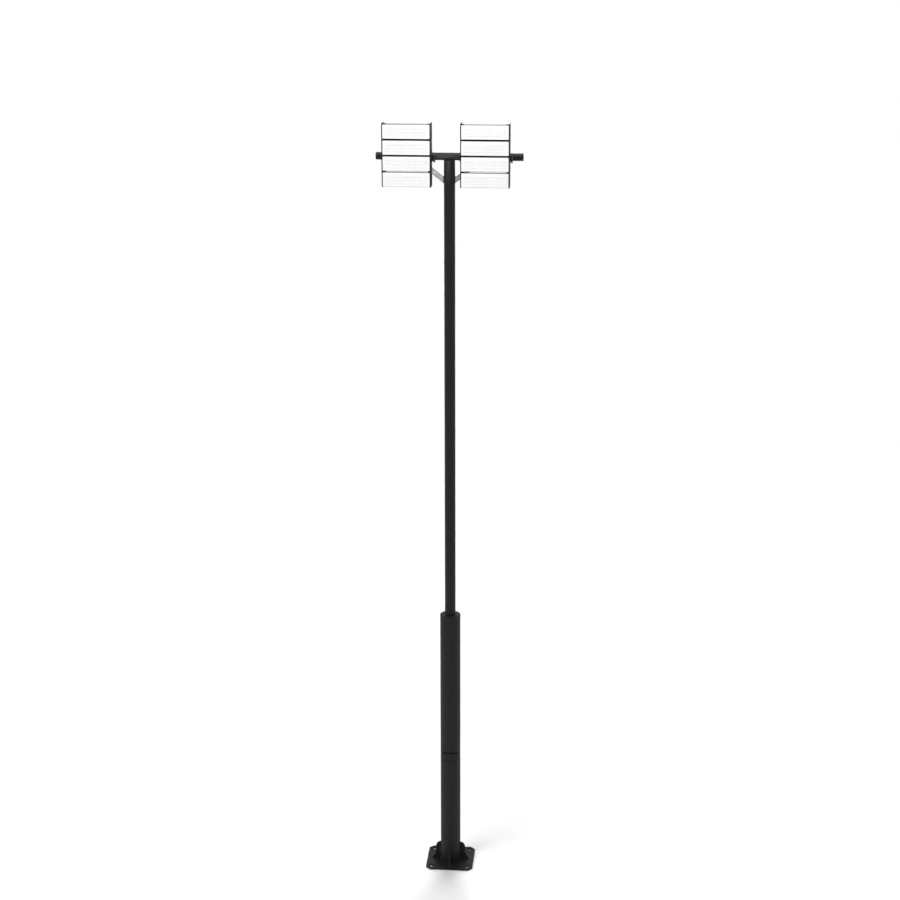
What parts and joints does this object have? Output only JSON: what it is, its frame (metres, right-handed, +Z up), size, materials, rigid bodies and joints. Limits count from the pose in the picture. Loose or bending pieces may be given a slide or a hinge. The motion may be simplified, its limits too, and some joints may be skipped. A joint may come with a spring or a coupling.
{
  "type": "floodlight column",
  "caption": "Stepped round steel column on a ribbed square flange, with a braced crossarm carrying tilting modular LED floodlights.",
  "frame": {"origin": "centre of the flange plate's underside, on the column's axis", "axes": "+Z up along the column, +X along the crossarm, floodlights facing -Y"},
  "size_m": [0.95, 0.465, 5.2793],
  "materials": {
    "black_powder_coat": "black powder coat, satin",
    "black_sheet_metal": "black paint, satin",
    "black_anodised": "black anodised extrusion",
    "driver_housing": "dark grey paint",
    "lens_white": "white moulded lens sheet",
    "galvanised_steel": "hot-dip galvanised",
    "gasket_rubber": "matt black rubber"
  },
  "bodies": {
    "mast": {"base_plate": "black_powder_coat", "gusset_front": "black_powder_coat", "gusset_back": "black_powder_coat", "gusset_left": "black_powder_coat", "gusset_right": "black_powder_coat", "lower_tube": "black_powder_coat", "hatch_cover": "black_powder_coat", "hatch_gasket": "gasket_rubber", "shoulder_ring": "black_powder_coat", "upper_tube": "black_powder_coat", "column_cap": "black_powder_coat", "crossarm": "black_powder_coat", "crossarm_cap_left": "black_sheet_metal", "crossarm_cap_right": "black_sheet_metal", "brace_collar": "black_sheet_metal", "brace_left": "galvanised_steel", "brace_right": "galvanised_steel"},
    "left_flood": {"left_side_plate_inner": "black_sheet_metal", "left_side_plate_outer": "black_sheet_metal", "left_heat_sink_1": "black_anodised", "left_heat_sink_2": "black_anodised", "left_heat_sink_3": "black_anodised", "left_heat_sink_4": "black_anodised", "left_lens_plate_1": "lens_white", "left_lens_plate_2": "lens_white", "left_lens_plate_3": "lens_white", "left_lens_plate_4": "lens_white", "left_driver_rail": "black_sheet_metal", "left_driver_box": "driver_housing", "left_bracket_inner": "black_sheet_metal", "left_bracket_outer": "black_sheet_metal"},
    "right_flood": {"right_side_plate_inner": "black_sheet_metal", "right_side_plate_outer": "black_sheet_metal", "right_heat_sink_1": "black_anodised", "right_heat_sink_2": "black_anodised", "right_heat_sink_3": "black_anodised", "right_heat_sink_4": "black_anodised", "right_lens_plate_1": "lens_white", "right_lens_plate_2": "lens_white", "right_lens_plate_3": "lens_white", "right_lens_plate_4": "lens_white", "right_driver_rail": "black_sheet_metal", "right_driver_box": "driver_housing", "right_bracket_inner": "black_sheet_metal", "right_bracket_outer": "black_sheet_metal"}
  },
  "joints": [
    {"name": "left_flood_tilt", "type": "hinge", "parent": "mast", "child": "left_flood", "pos_m": [-0.248, 0, 5.03635], "axis": [1, 0, 0], "range_deg": [-30, 60]},
    {"name": "right_flood_tilt", "type": "hinge", "parent": "mast", "child": "right_flood", "pos_m": [0.248, 0, 5.03635], "axis": [1, 0, 0], "range_deg": [-30, 60]}
  ]
}
